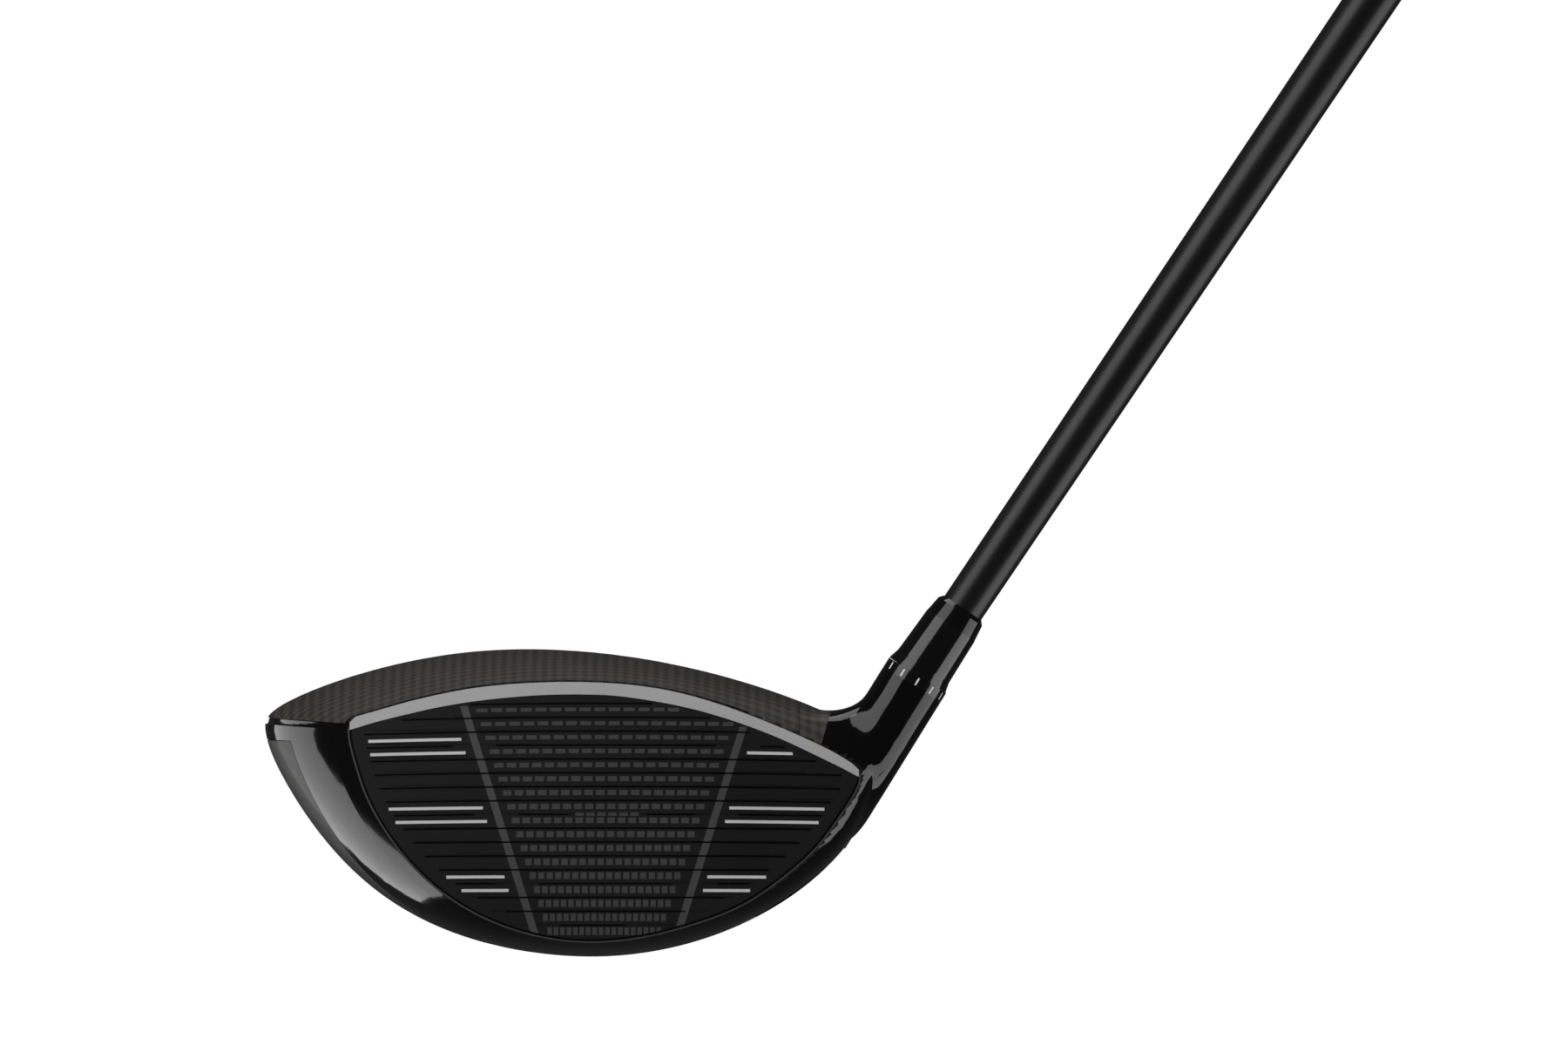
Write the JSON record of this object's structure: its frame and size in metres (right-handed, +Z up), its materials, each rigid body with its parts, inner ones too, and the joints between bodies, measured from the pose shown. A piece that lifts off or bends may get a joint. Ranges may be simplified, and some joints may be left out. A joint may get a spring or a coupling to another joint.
{
  "type": "golf driver",
  "caption": "Right-handed golf driver with a hollow bulged and rolled face head, an adjustable splined hosel sleeve, bolt-on sole weights, a tapered graphite shaft and a rubber grip.",
  "frame": {"origin": "on the ground under the leading edge of the face, at the middle of the face, with the sole resting on the ground", "axes": "+Z up, +X from the face centre towards the heel and hosel, +Y from the face back towards the tail; the face looks along -Y"},
  "size_m": [0.7553, 0.1151, 0.9707],
  "materials": {
    "frame": "gloss",
    "face": "satin",
    "carbon": "gloss",
    "elastomer": "matte",
    "rib": "cast",
    "weight": "satin",
    "screw": "satin",
    "insert": "machined",
    "washer": "matte",
    "sleeve": "anodised",
    "ferrule": "gloss",
    "graphite": "satin",
    "tape": "matte",
    "grip_rubber": "matte"
  },
  "bodies": {
    "shaft_side": {"loft_sleeve": "sleeve", "ferrule": "ferrule", "shaft": "graphite", "shaft_tip_plug": "washer", "grip_tape": "tape", "grip": "grip_rubber", "grip_cap": "grip_rubber"},
    "sleeve_washer": {"sleeve_washer": "washer"},
    "head": {"body_frame": "frame", "face_plate": "face", "crown_panel": "carbon", "sole_panel_toe": "carbon", "sole_panel_heel": "carbon", "slot_plug": "elastomer", "sound_rib": "rib", "front_weight_port": "frame", "rear_weight_port": "frame", "hosel_insert": "insert", "bolt_retainer": "insert"},
    "bolt_washer": {"bolt_washer": "screw"},
    "sleeve_bolt": {"sleeve_bolt": "screw"},
    "front_weight": {"front_weight": "weight"},
    "front_weight_screw": {"front_weight_screw": "screw"},
    "rear_weight": {"rear_weight": "weight"},
    "rear_weight_screw": {"rear_weight_screw": "screw"}
  },
  "joints": [
    {"name": "sleeve_turn", "type": "hinge", "parent": "shaft_side", "child": "sleeve_washer", "pos_m": [0.064, 0.02, 0.057], "axis": [0.527, 0, 0.8499], "continuous": true},
    {"name": "sleeve_lift", "type": "slide", "parent": "sleeve_washer", "child": "head", "axis": [-0.527, 0, -0.8499], "range_m": [0, 0.045]},
    {"name": "bolt_travel", "type": "slide", "parent": "head", "child": "bolt_washer", "axis": [-0.527, 0, -0.8499], "range_m": [0, 0.012]},
    {"name": "bolt_turn", "type": "hinge", "parent": "bolt_washer", "child": "sleeve_bolt", "pos_m": [0.04292, 0.02, 0.023], "axis": [-0.527, 0, -0.8499], "range_deg": [0, 5400]},
    {"name": "front_weight_travel", "type": "slide", "parent": "head", "child": "front_weight", "axis": [0, 0, -1], "range_m": [0, 0.012]},
    {"name": "front_screw_turn", "type": "hinge", "parent": "front_weight", "child": "front_weight_screw", "pos_m": [-0.003, 0.033, 0], "axis": [0, 0, -1], "range_deg": [0, 5400]},
    {"name": "rear_weight_travel", "type": "slide", "parent": "head", "child": "rear_weight", "axis": [0, 0.6018, -0.7986], "range_m": [0, 0.012]},
    {"name": "rear_screw_turn", "type": "hinge", "parent": "rear_weight", "child": "rear_weight_screw", "pos_m": [-0.002, 0.097, 0.0175], "axis": [0, 0.6018, -0.7986], "range_deg": [0, 5400]}
  ],
  "couplings": [
    {"joint": "bolt_turn", "follows": "bolt_travel", "rad_per_m": 7854},
    {"joint": "front_screw_turn", "follows": "front_weight_travel", "rad_per_m": 7854},
    {"joint": "rear_screw_turn", "follows": "rear_weight_travel", "rad_per_m": 7854}
  ]
}
